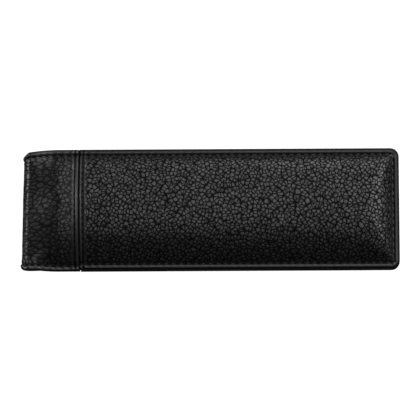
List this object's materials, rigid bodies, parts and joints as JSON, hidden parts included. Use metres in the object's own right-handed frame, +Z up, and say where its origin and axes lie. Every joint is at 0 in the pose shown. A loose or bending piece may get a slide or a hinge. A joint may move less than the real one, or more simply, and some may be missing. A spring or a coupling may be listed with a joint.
{
  "type": "fountain pen case",
  "caption": "Slim pebble-grained leather pouch for fountain pens, with an inner divider and a flap that folds round the open end onto hidden magnets.",
  "frame": {"origin": "under the middle of the case, on the plane that the flap tongue rests on", "axes": "+X along the pens from the open end to the closed end, +Y across the case, +Z up through the plain back face"},
  "size_m": [0.165, 0.053, 0.0227],
  "materials": {
    "leather": "pebble grain, satin",
    "lining": "short black nap",
    "board": "plain grey board",
    "tape": "woven stay tape",
    "thread": "waxed polyester thread",
    "magnet": "nickel plated"
  },
  "bodies": {
    "pouch": {"back_panel": "leather", "back_edge_thread": "thread", "back_lining": "lining", "back_board": "board", "front_panel": "leather", "front_edge_thread": "thread", "front_lining": "lining", "front_board": "board", "mouth_band": "leather", "pen_divider": "lining", "pouch_magnet_left": "magnet", "pouch_magnet_right": "magnet", "seam_stay_tape": "tape", "seam_thread_flap_side": "thread", "seam_thread_panel_side": "thread", "flap_base": "leather"},
    "fold_1": {"flap_fold_1": "leather", "flap_lining_1": "lining", "flap_thread_1_left": "thread", "flap_thread_1_right": "thread"},
    "fold_2": {"flap_fold_2": "leather", "flap_lining_2": "lining", "flap_thread_2_left": "thread", "flap_thread_2_right": "thread"},
    "fold_3": {"flap_fold_3": "leather", "flap_lining_3": "lining", "flap_thread_3_left": "thread", "flap_thread_3_right": "thread"},
    "fold_4": {"flap_fold_4": "leather", "flap_lining_4": "lining", "flap_thread_4_left": "thread", "flap_thread_4_right": "thread"},
    "fold_5": {"flap_fold_5": "leather", "flap_lining_5": "lining", "flap_thread_5_left": "thread", "flap_thread_5_right": "thread"},
    "tongue": {"flap_tongue": "leather", "tongue_lining": "lining", "tongue_board": "board", "tongue_magnet_left": "magnet", "tongue_magnet_right": "magnet", "tongue_thread": "thread"}
  },
  "joints": [
    {"name": "bend_1", "type": "hinge", "parent": "pouch", "child": "fold_1", "pos_m": [-0.0667, 0, 0.0227], "axis": [0, 1, 0], "range_deg": [0, 20]},
    {"name": "bend_2", "type": "hinge", "parent": "fold_1", "child": "fold_2", "pos_m": [-0.08053, 0, 0.01767], "axis": [0, 1, 0], "range_deg": [0, 35]},
    {"name": "bend_3", "type": "hinge", "parent": "fold_2", "child": "fold_3", "pos_m": [-0.0825, 0, 0.01485], "axis": [0, 1, 0], "range_deg": [0, 35]},
    {"name": "bend_4", "type": "hinge", "parent": "fold_3", "child": "fold_4", "pos_m": [-0.0825, 0, 0.00785], "axis": [0, 1, 0], "range_deg": [0, 35]},
    {"name": "bend_5", "type": "hinge", "parent": "fold_4", "child": "fold_5", "pos_m": [-0.08053, 0, 0.00503], "axis": [0, 1, 0], "range_deg": [0, 35]},
    {"name": "bend_6", "type": "hinge", "parent": "fold_5", "child": "tongue", "pos_m": [-0.0667, 0, 0], "axis": [0, 1, 0], "range_deg": [0, 20]}
  ],
  "couplings": [
    {"joint": "bend_1", "follows": "bend_6", "ratio": 1},
    {"joint": "bend_2", "follows": "bend_6", "ratio": 1.75},
    {"joint": "bend_3", "follows": "bend_6", "ratio": 1.75},
    {"joint": "bend_4", "follows": "bend_6", "ratio": 1.75},
    {"joint": "bend_5", "follows": "bend_6", "ratio": 1.75}
  ]
}
